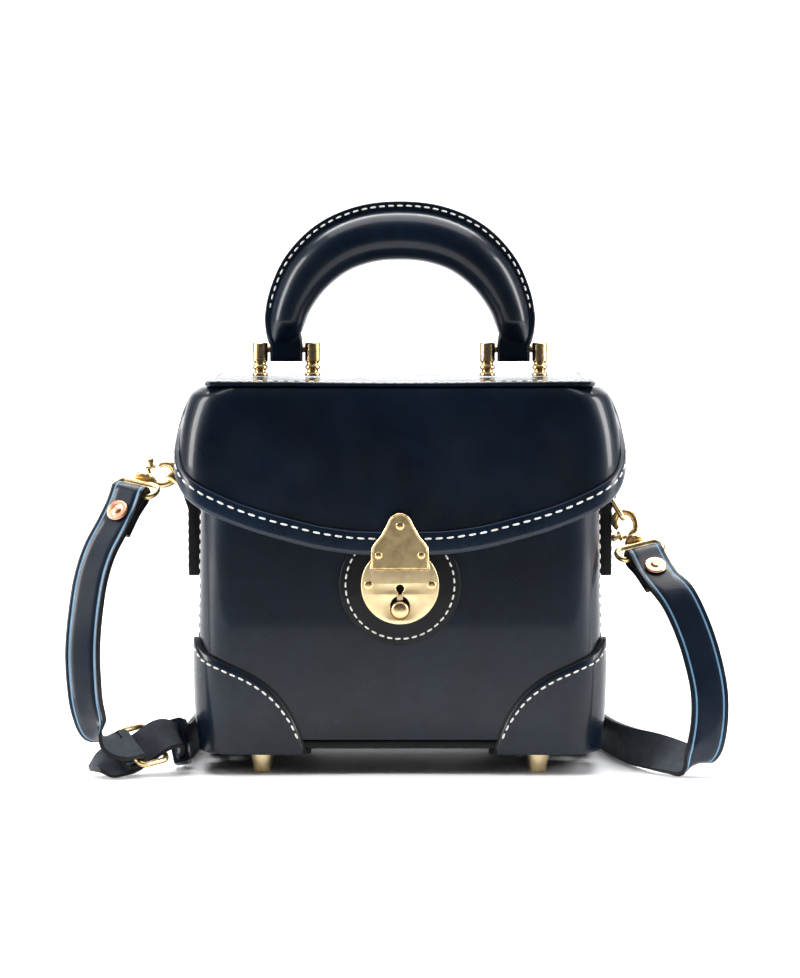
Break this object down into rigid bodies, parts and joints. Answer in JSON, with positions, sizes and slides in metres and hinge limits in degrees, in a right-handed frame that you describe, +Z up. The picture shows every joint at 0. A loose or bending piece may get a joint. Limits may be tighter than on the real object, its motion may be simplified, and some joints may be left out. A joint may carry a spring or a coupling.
{
  "type": "box bag",
  "caption": "Structured leather box bag with a moulded lid, a round trunk lock, a rolled top handle, metal feet and a buckled strap on snap hooks.",
  "frame": {"origin": "on the floor, under the middle of the whole outline with its strap", "axes": "+X to the viewer's right across the front, +Y from the front to the back, +Z up"},
  "size_m": [0.3347, 0.1796, 0.2891],
  "materials": {
    "navy_leather": "burnished gloss",
    "black_leather": "satin",
    "pale_brass": "satin",
    "brass": "polished",
    "antique_brass": "brushed",
    "copper": "polished"
  },
  "bodies": {
    "bag": {"base_panel": "black_leather", "body_shell": "navy_leather", "buckle_frame": "brass", "buckle_prong": "brass", "corner_patch_back_left": "navy_leather", "corner_patch_back_right": "navy_leather", "corner_patch_front_left": "navy_leather", "corner_patch_front_right": "navy_leather", "foot_back_left": "pale_brass", "foot_back_right": "pale_brass", "foot_front_left": "pale_brass", "foot_front_right": "pale_brass", "handle_pin_left": "brass", "handle_pin_right": "brass", "handle_post_inner_left": "brass", "handle_post_inner_right": "brass", "handle_post_outer_left": "brass", "handle_post_outer_right": "brass", "hasp_plate": "antique_brass", "hasp_rivet_left": "brass", "hasp_rivet_right": "brass", "hasp_rivet_top": "brass", "hook_eye_left": "brass", "hook_eye_right": "brass", "lid_edge_strip": "navy_leather", "lid_front": "navy_leather", "lid_top": "navy_leather", "lock_patch": "black_leather", "lock_plate": "pale_brass", "plate_rivet_left": "brass", "plate_rivet_right": "brass", "side_ring_left": "brass", "side_ring_right": "brass", "side_tab_left": "black_leather", "side_tab_right": "black_leather", "snap_hook_left": "brass", "snap_hook_right": "brass", "strap_keeper": "navy_leather", "strap_long": "navy_leather", "strap_rivet_left": "copper", "strap_rivet_right": "copper", "strap_short": "navy_leather"},
    "handle": {"handle_grip": "navy_leather"},
    "knob": {"release_knob": "brass"},
    "gate_left": {"hook_gate_left": "brass"},
    "gate_right": {"hook_gate_right": "brass"}
  },
  "joints": [
    {"name": "handle_swing", "type": "hinge", "parent": "bag", "child": "handle", "pos_m": [0, -0.0167, 0.213], "axis": [1, 0, 0], "range_deg": [-91.5, 91.5]},
    {"name": "knob_slide", "type": "slide", "parent": "bag", "child": "knob", "axis": [0, 0, 1], "range_m": [0, 0.002], "stiffness_N_per_m": 300, "springref_m": -0.001},
    {"name": "gate_left_turn", "type": "hinge", "parent": "bag", "child": "gate_left", "pos_m": [-0.13006, -0.02429, 0.15216], "axis": [0, -0.9751, 0.2216], "range_deg": [-22, 0], "stiffness_Nm_per_rad": 0.01, "springref_deg": 11.46},
    {"name": "gate_right_turn", "type": "hinge", "parent": "bag", "child": "gate_right", "pos_m": [0.11391, -0.03018, 0.11568], "axis": [0, -0.9156, 0.402], "range_deg": [-22, 0], "stiffness_Nm_per_rad": 0.01, "springref_deg": 11.46}
  ]
}
